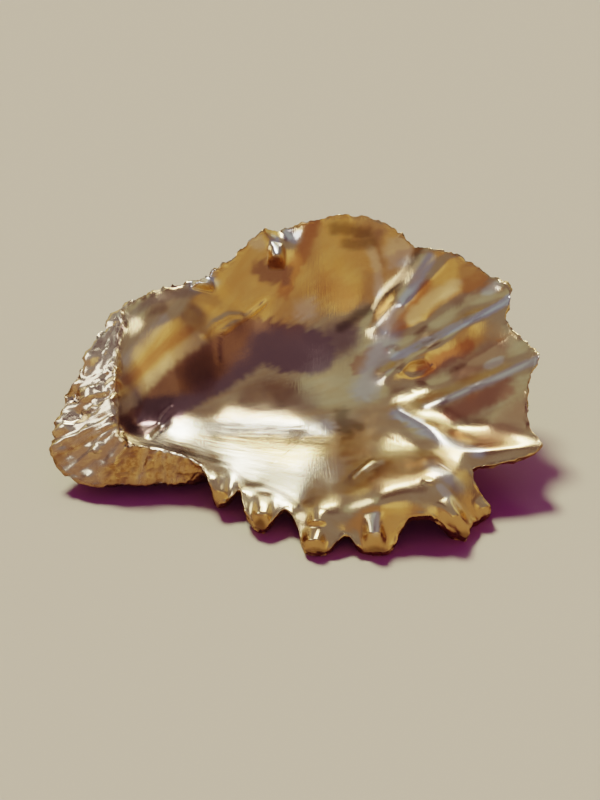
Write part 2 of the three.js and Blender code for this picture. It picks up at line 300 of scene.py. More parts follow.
# The heavy hinge block: how far its outer edge stands from the lip, by place along the lip
hingeEdge = [
    {"at": -6, "reach": [-0.5, 0.6, -0.9]},
    {"at": -5, "reach": [-1.5, 0.5, -0.9]},
    {"at": -4, "reach": [-3, 0, -1]},
    {"at": -3, "reach": [-5.5, -0.5, -1.5]},
    {"at": -2, "reach": [-8.5, -0.5, -3]},
    {"at": -1, "reach": [-10.5, -0.5, -4.5]},
    {"at": 0, "reach": [-11.8, -0.5, -6]},
    {"at": 1, "reach": [-11.5, -1, -8]},
    {"at": 2, "reach": [-7, -2, -8]},
    {"at": 3, "reach": [-2, -1.8, -7]},
    {"at": 4, "reach": [0, -1.4, -6.3]},
    {"at": 5, "reach": [0, -0.8, -5.4]},
]

# Lumps (out) and pits (in) of the broken rim and the hinge block
lumps = [
    {"at": [-42, -3, 11], "size": 2.5, "height": 0.9},
    {"at": [-39, 1.5, 16], "size": 2.2, "height": 1},
    {"at": [-36.5, 7.5, 19.5], "size": 2.4, "height": 0.9},
    {"at": [-37.5, -4.5, 13], "size": 2, "height": 0.8},
    {"at": [-34.8, 12.5, 23.5], "size": 2, "height": 0.7},
    {"at": [-40.3, 2.2, 14.2], "size": 1.3, "height": -2},
    {"at": [-39.8, -1.2, 12.8], "size": 1.4, "height": -2.2},
    {"at": [-43, -6, 7], "size": 2, "height": 0.8},
    {"at": [-34, -9.5, 8], "size": 2.2, "height": 0.8},
    {"at": [-26, -11, 8], "size": 2, "height": 0.7},
]

# Fine features that the CAD leaves out, all on the inner face
threads = [
    {
        "height": 0.28,
        "width": 0.35,
        "path": [[-17.2, 15.2, 19], [-15.2, 17.6, 20.4], [-12.6, 19.8, 20.8], [-10.2, 20.9, 20.2]],
    },
    {
        "height": 0.3,
        "width": 0.35,
        "path": [[-14.1, 17.2, 18.6], [-11.8, 19.6, 18.9], [-9.5, 21.2, 19.3], [-5.8, 23.7, 20.7]],
    },
    {
        "height": 0.25,
        "width": 0.3,
        "path": [[-14.4, 16.6, 17.6], [-14.7, 15.9, 16.7], [-14.5, 14.3, 13.9]],
    },
    {
        "height": 0.5,  # a nick in the near slope
        "width": 0.4,
        "path": [[-22.7, 4, 10.6], [-24.3, 2.1, 9.7], [-26.7, -4.2, 10.2]],
    },
    {
        "height": 0.3,  # a dash at the front right
        "width": 0.4,
        "path": [[10.5, -15.6, 10.8], [12.6, -12.8, 10.4], [13.8, -11, 10.2]],
    },
    {
        "height": 0.25,  # the upper and lower edge of the eye
        "width": 0.3,
        "path": [[19.6, 9.4, 15], [21.3, 11.2, 15.6], [24, 11.4, 16], [25.3, 10.2, 15.7]],
    },
    {
        "height": 0.25,
        "width": 0.3,
        "path": [[19.6, 9.2, 15], [21.6, 8.6, 14.6], [23.8, 9, 15], [25.3, 10, 15.7]],
    },
]

# Ledges that face up and catch the light, at the front right and in the two spouts: the middle, how
# wide and how long down the face, and the height of the lower edge
ledges = [
    {"at": [23.4, -18.6, 11], "wide": 1, "long": 1.2, "height": 0.5},
    {"at": [-17.3, 21.2, 27.2], "wide": 1.7, "long": 2.2, "height": 2.4},
    {"at": [-3.5, 25.9, 31], "wide": 1.25, "long": 3.4, "height": 3.6},
]

# Soft swellings (out) and dimples (in) of the inner face: centre, size, height
swellings = [
    {"at": [-12.7, 18.9, 19.3], "size": 2.6, "height": 0.45},
    {"at": [-29.2, -0.7, 11.2], "size": 2, "height": -0.5},
    {"at": [22.3, 9.8, 15.1], "size": 2.2, "height": -0.7},
    {"at": [18.1, 14.3, 16.6], "size": 1, "height": 0.4},
    {"at": [19.6, 25.2, 31.9], "size": 2.2, "height": -0.6},
    {"at": [-24.6, 0.5, 9.5], "size": 1.3, "height": -0.5},
    {"at": [24, -15.2, 10.6], "size": 2.5, "height": 0.5},
    {"at": [14, -16, 10.9], "size": 3, "height": 0.35},
    {"at": [39.1, 19.7, 27.6], "size": 1.6, "height": 0.8},
]

# Painted light laid into the colour of the gilding, each a row of strokes on the inner face: how much,
# how wide, how soft the edge (1 is soft), and the path. Dusk, umber and amber are painted shade (dark and
# purplish, nearly black, a reddish brown), silver a pale bluish painted reflection, cream a bright painted
# highlight
tones = {
    # painted shade: the dark basin and the dark corners of the spouts, lobes and hinge end
    "dusk": [
        (1, 4.4, 0.3, [[-28.4, 0.5, 10.8], [-18.6, 9.4, 13.7], [-7.6, 19.2, 15.6], [3.7, 17.4, 14.1]]),
        (0.85, 3, 0.8, [[3.7, 17.4, 14.1], [9.4, 19, 16.5]]),
        (0.35, 2.6, 1, [[-22, 0.9, 9.6], [-10, 6.5, 7.6], [2, 9.5, 8.2]]),
        (0.85, 1.5, 0.5, [[-6.3, 24.5, 27.9], [-1.9, 24.5, 26.6]]),
        (0.4, 1.1, 1, [[-19, 18.3, 26.7], [-15, 19.4, 24.4]]),
        (0.5, 0.9, 1, [[-32, 12.6, 23.6], [-26.9, 15.6, 26.4], [-19.5, 18.6, 26.7]]),
        (0.9, 1.4, 0.3, [[-30, -1.6, 11.2], [-28, -0.6, 10.7]]),
        (0.5, 0.9, 0.6, [[15.6, 26.6, 34.4], [15.8, 25.6, 28.6]]),
    ],
    # painted shade: near-black lines along the creases and the lobe, under the tooth tips and over the basin
    "umber": [
        (0.6, 0.9, 1, [[8.6, 20.2, 17.6], [11.9, 21.6, 19.7], [16, 21.9, 22.3], [18.4, 22.3, 24.9]]),
        (0.6, 0.7, 1, [[18.4, 22.3, 24.9], [20.4, 23.3, 28], [22.4, 24.4, 31], [23.4, 25, 33]]),
        (0.5, 0.5, 0.6, [[-31.8, -7.3, 11.7], [-24.3, -6.9, 9.7], [-16.2, -7.6, 8]]),
        (0.5, 0.5, 0.6, [[-16.2, -7.6, 8], [-12.1, -8.2, 7.1], [-8.5, -13.4, 7]]),
        (0.5, 0.5, 0.6, [[-8.5, -13.4, 7], [-5.3, -14.1, 6.8], [-2.1, -16.1, 6.8], [0.4, -19.3, 6.8]]),
        (0.7, 0.8, 0.7, [[-5.8, -21.4, 2.5], [-6.2, -20.8, 3]]),
        (0.6, 0.8, 0.7, [[2.4, -27, 1.4], [5.6, -27, 1.4]]),
        (0.6, 0.8, 0.7, [[12, -27, 1.6], [16, -27, 1.6]]),
        (0.6, 0.8, 0.7, [[28, -23.4, 2.2], [30.4, -23, 2]]),
        (0.55, 1.1, 1, [[7.4, 27.4, 35.4], [13.6, 27, 34.6]]),
        (0.5, 0.9, 1, [[9.4, 26.6, 32.4], [14.6, 26.4, 33]]),
        (0.45, 2.4, 0.9, [[-27, 3.2, 12.4], [-21, 8.4, 13.8], [-15.5, 13, 14.6]]),
        (0.5, 1.5, 1, [[8.6, 4.6, 9.2], [9.4, 0.5, 8.6]]),
        (0.45, 0.9, 1, [[9, 3, 9], [12, 0.4, 9]]),
    ],
    # painted shade: reddish brown on the left sides of the flutes, down the lobe and at the front right
    "amber": [
        (0.9, 1.3, 0.8, [[18.7, 16.4, 18.6], [24.3, 20.5, 27]]),
        (1, 1.5, 0.8, [[24, 9.4, 15.3], [28.4, 11, 17.3], [32, 12, 18.8]]),
        (1, 1.9, 0.8, [[28.5, 0.8, 11.6], [33, 2, 13.4], [38.3, 2.8, 15.9]]),
        (0.9, 1.9, 0.4, [[12.2, 13.4, 14], [15.6, 14.6, 16.2]]),
        (0.75, 1.3, 0.6, [[3.5, 28.1, 36.4], [1.7, 26.3, 31], [-1.2, 24.5, 26.6], [-2.1, 23.7, 23.6]]),
        (0.5, 2.2, 1, [[6, 24.5, 25], [10, 23, 22.5]]),
        (0.6, 0.8, 0.8, [[-32.6, 2, 16.9], [-26.7, 8.1, 18.5], [-19.5, 13.6, 21.6]]),
        (0.5, 2, 1, [[30, 20, 25.4], [35, 20.4, 27]]),
        (0.7, 2.2, 1, [[31, 8.6, 16], [37, 10.4, 19]]),
        (0.7, 2.8, 1, [[35, -6, 10.8], [42, -2, 14.4]]),
        (0.5, 3, 1, [[16, -16, 9.8], [26, -13, 10.6]]),
    ],
    # painted reflection: pale bluish light along the crests, and painted highlights in the spouts
    "silver": [
        (0.8, 1, 0.8, [[16.9, 17.6, 19], [21.1, 19.8, 25.1], [25.2, 23.4, 31.2]]),
        (0.9, 0.9, 0.6, [[18.6, 12.4, 16.1], [27, 14.5, 19.9], [35.2, 15.4, 24.1], [40, 17, 26]]),
        (0.6, 0.8, 0.8, [[24, 2.8, 11.5], [28.4, 3.4, 13.4], [36.6, 4.6, 16.8], [44.6, 6, 20]]),
        (0.8, 1.2, 0.8, [[18.7, 1.4, 11.5], [26.1, -6.6, 11.3], [33.1, -9.9, 10.8]]),
        (0.5, 2.4, 0.8, [[13, 8, 12.2], [16, 13.5, 15.4], [17.5, 18, 19]]),
        (1, 1.5, 0.8, [[-18.4, 21.2, 27], [-16, 21.6, 27.6]]),
        (1, 0.9, 0.6, [[-3.9, 27.2, 33], [-3.3, 25.2, 30.6]]),
        (0.8, 1.1, 0.6, [[-1.4, 28.4, 33.8], [0.2, 27.8, 33]]),
        (0.6, 1.3, 1, [[24, -14, 10.4], [28.7, -17.7, 8.9]]),
    ],
    # painted highlights: the bright near slope, spots in the spouts, on the teeth and on the lobe
    "cream": [
        (1, 1.8, 1, [[-26, -3.2, 9.8], [-17, 1, 8.2], [-8.4, 3.6, 6.8], [5.5, 2.2, 7.7]]),
        (0.9, 4, 1, [[-24, -5.6, 9.4], [-12, -8, 7.4], [-2, -14, 6.7], [6, -12, 7.6]]),
        (1, 1.1, 0.6, [[-8, 25.8, 33.6], [-6.6, 25.8, 32.8]]),
        (1, 2.4, 0.5, [[19, 25, 31.6], [19.6, 25, 31.6]]),
        (0.9, 0.8, 0.6, [[14.3, 26.2, 31.4], [15.4, 25.2, 28], [15.8, 24.3, 25.9], [15.5, 23.3, 23.6]]),
        (1, 1.7, 1, [[1.6, 22.3, 20.6], [2.4, 22.3, 20.6]]),
        (0.75, 1, 0.9, [[-32, -2, 14.4], [-26.8, 6.4, 15.2], [-17.7, 14.1, 19.4]]),
        (0.5, 1, 0.9, [[-31, 6.4, 20], [-24, 12.7, 24.2]]),
        (0.9, 1.1, 0.8, [[21.5, 17.8, 21.5], [25.3, 19.7, 24.3], [29.9, 21.3, 26.6]]),
        (1, 0.8, 0.6, [[14, -24.2, 7.6], [14, -25.6, 5.2]]),
        (0.9, 0.8, 0.6, [[25.4, -19.4, 10], [28.4, -21.4, 7.6]]),
        (0.8, 1.1, 0.6, [[36, 19.3, 26.5], [37.2, 19.6, 27.2]]),
        (0.7, 1, 0.6, [[36, 8, 17.4], [37.4, 8.4, 18]]),
        (0.8, 0.7, 0.6, [[13, -13.2, 9.4], [15.4, -11.4, 9.6]]),
    ],
}

# How rough the broken surfaces are: millimetres of relief and the size of what makes it
relief = {
    "lipBite": 0.8,
    "lipBiteSize": 1.6,
    "rimFacet": 0.6,
    "rimFacetSize": 1.9,
    "flakeSize": 2.4,
    "flakeTurn": ((0.16, -1, 0), (0.2, 0.4, -0.9), (0.2, 0.4, 0.9)),  # drawn out up the hinge block
    "crumb": 0.22,
    "crumbSize": 0.7,
    "underside": 0.25,
    "undersideSize": 2.2,
    # how far the painted shade spreads round each deep pit
    "paintedPitShadeSize": 1.3,
    "sway": 0.05,
    "swaySize": 6,
    "ripple": 0.012,
    "fray": 0.7,
    "fraySize": 1.1,
}


def smooth(x):
    x = np.clip(x, 0, 1)
    return x * x * (3 - 2 * x)


def toPlane(points):  # across runs along X, along up the leaning plane, height square to it
    points = np.asarray(points, float)
    c, s = math.cos(shell["lean"]), math.sin(shell["lean"])
    x, y, z = points[..., 0], points[..., 1], points[..., 2]
    return np.stack([x, y * c + z * s, z * c - y * s], -1)


def fromPlane(across, along, height):
    c, s = math.cos(shell["lean"]), math.sin(shell["lean"])
    return np.stack([across, along * c - height * s, along * s + height * c], -1)


def bend(gap2):
    return 0.5 * gap2 * np.log(np.maximum(gap2, 1e-12))


def thinPlate(points, stiffness):  # a thin plate through the given heights
    flat, heights, n = points[:, :2], points[:, 2], len(points)
    kernel = bend(((flat[:, None] - flat[None]) ** 2).sum(-1))
    np.fill_diagonal(kernel, stiffness)
    plain = np.column_stack([np.ones(n), flat])
    system = np.block([[kernel, plain], [plain.T, np.zeros((3, 3))]])
    weight = np.linalg.solve(system, np.concatenate([heights, np.zeros(3)]))

    def heightAt(x, y):
        found = weight[n] + weight[n + 1] * x + weight[n + 2] * y
        for i in range(n):
            found = found + weight[i] * bend((x - flat[i, 0]) ** 2 + (y - flat[i, 1]) ** 2)
        return found

    return heightAt


lipPlane = toPlane(lip)
plate = thinPlate(np.vstack([lipPlane, toPlane(hollow)]), shell["stiffness"])
heart = toPlane(shell["heart"])
beak = toPlane(shell["beak"])
fan = toPlane(shell["fan"])


def lipAt(u):  # the lip's place in the leaning plane, u running once round its points
    i = np.floor(u).astype(int)
    t = (u - i)[:, None]
    p, q, r, s = (lipPlane[(i + k) % len(lip), :2] for k in (-1, 0, 1, 2))
    return q + 0.5 * t * (r - p + t * (2 * p - 5 * q + 4 * r - s + t * (3 * (q - r) + s - p)))


def planePlace(u, r):
    edge = lipAt(u)
    return heart[0] + (edge[:, 0] - heart[0]) * r, heart[1] + (edge[:, 1] - heart[1]) * r


def pathDistance(x, y, path):
    least = np.full(x.shape, 1e9)
    path = toPlane(path)[:, :2]
    for start, end in zip(path[:-1], path[1:]):
        step = end - start
        t = np.clip(((x - start[0]) * step[0] + (y - start[1]) * step[1]) / (step @ step), 0, 1)
        least = np.minimum(least, np.hypot(x - start[0] - t * step[0], y - start[1] - t * step[1]))
    return least


def crestHeight(x, y):
    total = np.zeros(x.shape)
    for line in crests:
        away = pathDistance(x, y, line["path"]) / line["width"]
        total += line["height"] * np.exp(0.8 - np.hypot(away, 0.8)) * (away < 4)
    return total


def fingerHeight(x, y):
    total = np.zeros(x.shape)
    for line in fingers:
        start, end = toPlane(line["path"])[:, :2]
        step = end - start
        length = math.hypot(*step)
        down = ((x - start[0]) * step[0] + (y - start[1]) * step[1]) / length ** 2
        away = ((x - start[0]) * step[1] - (y - start[1]) * step[0]) / length / line["width"]
        rise = np.clip(down / line["ramp"], 0, 1)
        fall = smooth((down - line["ramp"]) / (1 - line["ramp"]))
        total += line["height"] * rise * (1 - 0.9 * fall) * np.exp(-np.abs(away) ** 3)
    return total


def ledgeHeight(x, y):  # rises steadily down the face, then falls back sharply
    total = np.zeros(x.shape)
    for one in ledges:
        across, along, _ = toPlane(one["at"])
        down = (along - y) / one["long"] + 0.5
        rise = np.clip(down, 0, 1) * smooth((1.35 - down) / 0.35)
        total += one["height"] * rise * np.exp(-(((x - across) / one["wide"]) ** 4))
    return total


def threadHeight(x, y):  # steeper sides than a crest
    total = np.zeros(x.shape)
    for line in threads:
        away = pathDistance(x, y, line["path"]) / line["width"]
        total += line["height"] * np.exp(-away * away)
    return total


def swellingHeight(x, y):
    total = np.zeros(x.shape)
    for one in swellings:
        across, along, _ = toPlane(one["at"])
        total += one["height"] * np.exp(-((x - across) ** 2 + (y - along) ** 2) / one["size"] ** 2)
    return total


def toneAmount(x, y, frayX, frayY, name):  # edges frayed along the growth lines
    total = np.zeros(x.shape)
    for amount, width, soft, path in tones[name]:
        loose = min(1, width / 1.5) ** 2
        away = pathDistance(x + loose * frayX, y + loose * frayY, path) / width
        total = np.maximum(total, amount * smooth((1 - away) / soft * 0.75 + 0.5))
    return total


def share(u, start, end, fade):  # 1 between two places along the lip, fading to 0 beside them
    ring = len(lip)
    away = np.abs((u - (start + end) / 2 + 1.5 * ring) % ring - ring / 2)
    return smooth(((end - start) / 2 + fade - away) / fade)


def noise(points, size, seed):  # soft noise from -1 to 1 with lumps of about that size
    rng = np.random.default_rng(seed)
    order = rng.permutation(256)
    slopes = rng.normal(size=(256, 3))
    slopes /= np.linalg.norm(slopes, axis=1, keepdims=True)
    places = points / size
    cell = np.floor(places).astype(int)
    part = places - cell
    ease = part ** 3 * (part * (part * 6 - 15) + 10)
    total = np.zeros(len(points))
    for corner in np.ndindex(2, 2, 2):
        at = cell + corner
        key = order[(order[(order[at[:, 0] & 255] + at[:, 1]) & 255] + at[:, 2]) & 255]
        weight = np.prod(np.where(corner, ease, 1 - ease), axis=1)
        total += weight * ((part - corner) * slopes[key]).sum(1)
    return total * 1.7


def facets(points, size, seed):  # flat chips: a tilted plane in each cell, from about -1 to 1
    rng = np.random.default_rng(seed)
    order = rng.permutation(256)
    middles = rng.random((256, 3))
    tilts = rng.normal(size=(256, 3))
    tilts /= np.linalg.norm(tilts, axis=1, keepdims=True)
    places = points / size
    cell = np.floor(places).astype(int)
    nearest = np.full(len(points), 1e9)
    value = np.zeros(len(points))
    for corner in np.ndindex(3, 3, 3):
        at = cell + corner - np.array([1, 1, 1])
        key = order[(order[(order[at[:, 0] & 255] + at[:, 1]) & 255] + at[:, 2]) & 255]
        gap = places - at - middles[key]
        far = (gap ** 2).sum(1)
        closer = far < nearest
        nearest = np.where(closer, far, nearest)
        value = np.where(closer, (gap * tilts[key]).sum(1) + 0.6 * (key / 255 - 0.5), value)
    return value


def growth(x, y, r):  # shingled growth steps crossed by rounded folds, on the outer face
    far = np.hypot(x - beak[0], y - beak[1])
    turn = np.arctan2(y - beak[1], x - beak[0])
    wave = np.cos(turn * shell["foldCount"])
    place = far / shell["growthStep"] + 0.25 * wave + 0.15 * np.sin(turn * 29)
    step = place - np.floor(place)
    rise = step * smooth((1 - step) / 0.25)
    fold = shell["foldHeight"] * wave * smooth((far - 15) / 30)
    return (shell["growthHeight"] * rise + fold) * smooth((r - 0.3) / 0.2) * smooth((1.02 - r) / 0.12)


def thickness(u, r):
    lipEdge, belly = shell["lipThickness"], shell["bellyThickness"]
    edge = lipEdge + (shell["toothThickness"] - lipEdge) * share(u, *shell["teeth"], 3)
    return belly + (edge - belly) * smooth((r - 0.25) / 0.75)


def depth(u, r, x, y):
    step = shell["slopeStep"]
    slopeX = (plate(x + step, y) - plate(x - step, y)) / (2 * step)
    slopeY = (plate(x, y + step) - plate(x, y - step)) / (2 * step)
    steepness = np.minimum(shell["steepest"], np.sqrt(1 + slopeX ** 2 + slopeY ** 2))
    return (thickness(u, r) + growth(x, y, r)) * steepness


def blockReach(u):
    ring = len(lip)
    place = np.where(u > ring / 2, u - ring, u)
    places = [row["at"] for row in hingeEdge]
    reaches = zip(*(row["reach"] for row in hingeEdge))
    return np.stack([np.interp(place, places, along) for along in reaches], -1)


def innerPoint(x, y):
    height = plate(x, y) + crestHeight(x, y) + fingerHeight(x, y) + ledgeHeight(x, y)
    return fromPlane(x, y, height)


def outerPoint(u, r, x, y):
    point = fromPlane(x, y, plate(x, y))
    nothing = np.zeros(len(x))
    offset = fromPlane(nothing, nothing, -depth(u, r, x, y))
    hinge = share(u, hingeEdge[0]["at"], hingeEdge[-1]["at"], 1.5)
    near = (hinge * smooth((r - 0.55) / 0.45))[:, None]
    point = point + offset + (blockReach(u) - offset) * near
    point[:, 2] -= 2 * hinge * np.sin(math.pi * np.clip((1 - r) / 0.5, 0, 1))
    return point


def lipPlace(angle):  # which place along the lip a direction on the slab goes to
    quarter = angle / (math.pi / 2) + 1.5
    k = np.floor(quarter).astype(int)
    corners = shell["slabCorners"]
    ring = len(lip)
    stops = np.array([corners[3] - ring, *corners, corners[0] + ring])
    return (stops[k + 1] + (stops[k + 2] - stops[k + 1]) * (quarter - k)) % ring


def makeSlab():  # a closed square slab: its top becomes the inner face, its sides the rim
    bm = bmesh.new()
    steps = shell["faceSteps"]
    bmesh.ops.create_grid(bm, x_segments=steps, y_segments=steps, size=1)
    raised = bmesh.ops.extrude_face_region(bm, geom=bm.faces[:])
    top = [v for v in raised["geom"] if isinstance(v, bmesh.types.BMVert)]
    bmesh.ops.translate(bm, verts=top, vec=(0, 0, 1))
    upright = [e for e in bm.edges if abs(e.verts[0].co.z - e.verts[1].co.z) > 0.5]
    bmesh.ops.subdivide_edges(bm, edges=upright, cuts=shell["rimRings"], use_grid_fill=True)
    bmesh.ops.recalc_face_normals(bm, faces=bm.faces)
    return bm


def roughened(points):  # the lumps and pits of the broken rim
    moved = points.copy()
    for lump in lumps:
        away = np.linalg.norm(points - np.array(lump["at"]), axis=1) / lump["size"]
        push = lump["height"] * np.exp(-away * away)
        moved += fromPlane(-0.45 * push, 0 * push, 0.9 * push)
    return moved


def onTable(points):
    across, along, height = toPlane(points).T
    return fromPlane(across, along, np.maximum(height, -along * math.tan(shell["lean"])))


def vertexNormals(mesh):
    found = np.empty(len(mesh.vertices) * 3, np.float32)
    mesh.vertex_normals.foreach_get("vector", found)
    return found.reshape(-1, 3).astype(float)


def makeShell():
    bm = makeSlab()
    mesh = bpy.data.meshes.new("oysterShell")
    bm.to_mesh(mesh)
    bm.free()
    slab = np.empty(len(mesh.vertices) * 3, np.float32)
    mesh.vertices.foreach_get("co", slab)
    a, b, level = slab.reshape(-1, 3).astype(float).T
    x, y = a * np.sqrt(1 - b ** 2 / 2), b * np.sqrt(1 - a ** 2 / 2)
    r = np.minimum(1, np.hypot(x, y))
    u = lipPlace(np.arctan2(y, x))

    # bites out of the lip, never past it
    edge = lipAt(u)
    around = np.column_stack([edge, np.zeros(len(u))])
    biteSize = relief["lipBiteSize"]
    bite = 0.5 + 0.5 * noise(around, biteSize, 3) + 0.3 * noise(around, biteSize / 2.6, 4)
    radius = np.hypot(*(edge - heart[:2]).T)
    back = 1 - 0.6 * share(u, *shell["teeth"], 2)
    r = r * (1 - relief["lipBite"] * back * np.clip(bite, 0, 1.3) / radius * smooth((r - 0.9) / 0.1))

    x, y = planePlace(u, r)
    inner = innerPoint(x, y)
    outer = outerPoint(u, r, x, y)
    rim = (level > 0.001) & (level < 0.999)
    points = inner * level[:, None] + outer * (1 - level[:, None])
    points[rim] = roughened(points[rim])
    points = onTable(points)

    # relief along the surface's own direction
    mesh.vertices.foreach_set("co", points.astype(np.float32).ravel())
    mesh.update()
    out = vertexNormals(mesh)
    top = level > 0.999
    hinge = share(u, *shell["block"], 3)
    broken = np.where(top, smooth((r - 0.955) / 0.045), np.where(rim, 1, smooth((r - 0.6) / 0.35)))
    broken = broken * (0.45 + 0.55 * hinge)
    under = np.where(top, 0, np.where(rim, 0, 1 - smooth((r - 0.6) / 0.35)))
    shelf = rim * hinge * smooth((out @ np.array([-0.35, -0.25, 0.9]) - 0.35) / 0.3)
    chips = facets(points, relief["rimFacetSize"], 11)
    flakes = facets(points @ np.array(relief["flakeTurn"]), relief["flakeSize"], 16)
    push = broken * relief["rimFacet"] * (chips + (1.3 * flakes - chips) * shelf)
    push += broken * relief["crumb"] * noise(points, relief["crumbSize"], 12) * (1 - 0.6 * shelf)
    # painted shade: darker where the relief is pushed in, round the deep pits and towards the foot of the
    # hinge block
    paintedPitShade = smooth(-3.5 * push) * (1 - 0.7 * shelf)
    paintedPitShade = np.maximum(paintedPitShade, hinge * (1 - top) * smooth((5.5 - points[:, 2]) / 4))
    for lump in lumps:
        if lump["height"] < -1:
            away = np.linalg.norm(points - np.array(lump["at"]), axis=1) / relief["paintedPitShadeSize"]
            paintedPitShade = np.maximum(paintedPitShade, rim * np.exp(-away ** 2))
    push += under * relief["underside"] * noise(points, relief["undersideSize"], 13)
    far = np.hypot(x - fan[0], y - fan[1])
    turn = np.arctan2(y - fan[1], x - fan[0])
    calm = top * smooth((1 - r) / 0.1)
    flow = np.column_stack([far / 7, turn * 45, 0 * far])
    push += calm * relief["sway"] * noise(points, relief["swaySize"], 14)
    push += calm * relief["ripple"] * noise(flow, 1, 15)
    push += top * (threadHeight(x, y) + swellingHeight(x, y))
    points = onTable(points + out * push[:, None])

    points[:, :2] -= shell["drawnMiddle"]
    points = np.clip(points * mm, np.array(cadLow), np.array(cadHigh))
    mesh.vertices.foreach_set("co", points.astype(np.float32).ravel())

    # what the material reads: two UV maps, along the growth and over the leaning plane, and masks
    corners = np.empty(len(mesh.loops), np.int32)
    mesh.loops.foreach_get("vertex_index", corners)
    for name, places in (("growth", (far / 10, turn)), ("plane", (x, y))):
        uv = np.column_stack(places)[corners].astype(np.float32)
        mesh.uv_layers.new(name=name).data.foreach_set("uv", uv.ravel())
    storeMask(mesh, "broken", np.where(top | rim, broken, 1) * (1 - 0.75 * shelf))
    storeMask(mesh, "striated", calm * smooth((24 - x) / 14) * smooth((30 - y) / 10))
    storeMask(mesh, "paintedPitShade", paintedPitShade)
    fray = relief["fray"] * noise(np.column_stack([far / 5, turn * 60, 0 * far]), 1, 21)
    frayX = 0.5 * noise(points / mm, relief["fraySize"], 22) + fray
    frayY = 0.5 * noise(points / mm, relief["fraySize"], 23) + fray
    # the tone strokes carry painted shade and painted highlights; the up-facing hinge shelf also gets painted
    # highlight
    for name in tones:
        amount = top * toneAmount(x, y, frayX, frayY, name)
        storeMask(mesh, name, amount + (0.6 * shelf if name == "cream" else 0))
    mesh.polygons.foreach_set("use_smooth", np.ones(len(mesh.polygons), bool))
    mesh.update()
    piece = bpy.data.objects.new("oysterShell", mesh)
    bpy.context.scene.collection.objects.link(piece)
    return piece


def storeMask(mesh, name, values):
    stored = mesh.attributes.new(name, "FLOAT", "POINT")
    stored.data.foreach_set("value", np.clip(values, 0, 1).astype(np.float32))


# Material: gold leaf under a gloss, worn and crumpled where the shell is broken, with painted shade and
# painted highlights laid into its colour
gilding = {
    "deepGold": (0.88, 0.64, 0.33, 1),
    "lightGold": (0.93, 0.73, 0.4, 1),
    # painted light: the next five colours are three of painted shade, a painted reflection and a painted
    # highlight
    "dusk": (0.38, 0.24, 0.23, 1),
    "umber": (0.1, 0.045, 0.035, 1),
    "amber": (0.66, 0.34, 0.2, 1),
    "silver": (0.8, 0.82, 0.84, 1),
    "cream": (1, 0.93, 0.74, 1),
    "wornBrown": (0.42, 0.2, 0.1, 1),
    "glossRoughness": 0.2,
    "brokenRoughness": 0.3,
    "wornAmount": 0.6,
    # how strong the painted shade in the pits is
    "paintedPitShadeAmount": 0.8,
    "crumbScale": 900,
    "smearScale": 260,
    "tremorScale": 1500,
    "crumpleScale": 650,
    "striaeHeight": 0.000012,
    "grainHeight": 0.000022,
    "tremorHeight": 0.000012,
    "crumpleHeight": 0.00016,
}


def node(tree, kind, **settings):
    made = tree.nodes.new("ShaderNode" + kind)
    for name, value in settings.items():
        setattr(made, name, value)
    return made


def mask(tree, name):
    return node(tree, "Attribute", attribute_name=name).outputs["Fac"]


def noiseOf(tree, vector, scale, detail=3, roughness=0.5):
    made = node(tree, "TexNoise")
    made.inputs["Scale"].default_value = scale
    made.inputs["Detail"].default_value = detail
    made.inputs["Roughness"].default_value = roughness
    tree.links.new(vector, made.inputs["Vector"])
    return made.outputs["Fac"]


def spread(tree, value, low, high, newLow=0, newHigh=1):
    made = node(tree, "MapRange", interpolation_type="SMOOTHSTEP")
    for name, number in zip(("From Min", "From Max", "To Min", "To Max"), (low, high, newLow, newHigh)):
        made.inputs[name].default_value = number
    tree.links.new(value, made.inputs["Value"])
    return made.outputs["Result"]


def mathOf(tree, operation, first, second):
    made = node(tree, "Math", operation=operation)
    for slot, value in zip(made.inputs, (first, second)):
        if isinstance(value, (int, float)):
            slot.default_value = value
        else:
            tree.links.new(value, slot)
    return made.outputs[0]


def mixColour(tree, amount, first, second):
    made = node(tree, "Mix", data_type="RGBA")
    tree.links.new(amount, made.inputs["Factor"])
    for slot, value in ((made.inputs["A"], first), (made.inputs["B"], second)):
        if isinstance(value, tuple):
            slot.default_value = value
        else:
            tree.links.new(value, slot)
    return made.outputs["Result"]


def stretched(tree, vector, scale):
    made = node(tree, "Mapping")
    made.inputs["Scale"].default_value = scale
    tree.links.new(vector, made.inputs["Vector"])
    return made.outputs["Vector"]


def bumpOn(tree, height, distance, before=None):
    made = node(tree, "Bump")
    made.inputs["Strength"].default_value = 1
    made.inputs["Distance"].default_value = distance
    tree.links.new(height, made.inputs["Height"])
    if before is not None:
        tree.links.new(before, made.inputs["Normal"])
    return made.outputs["Normal"]


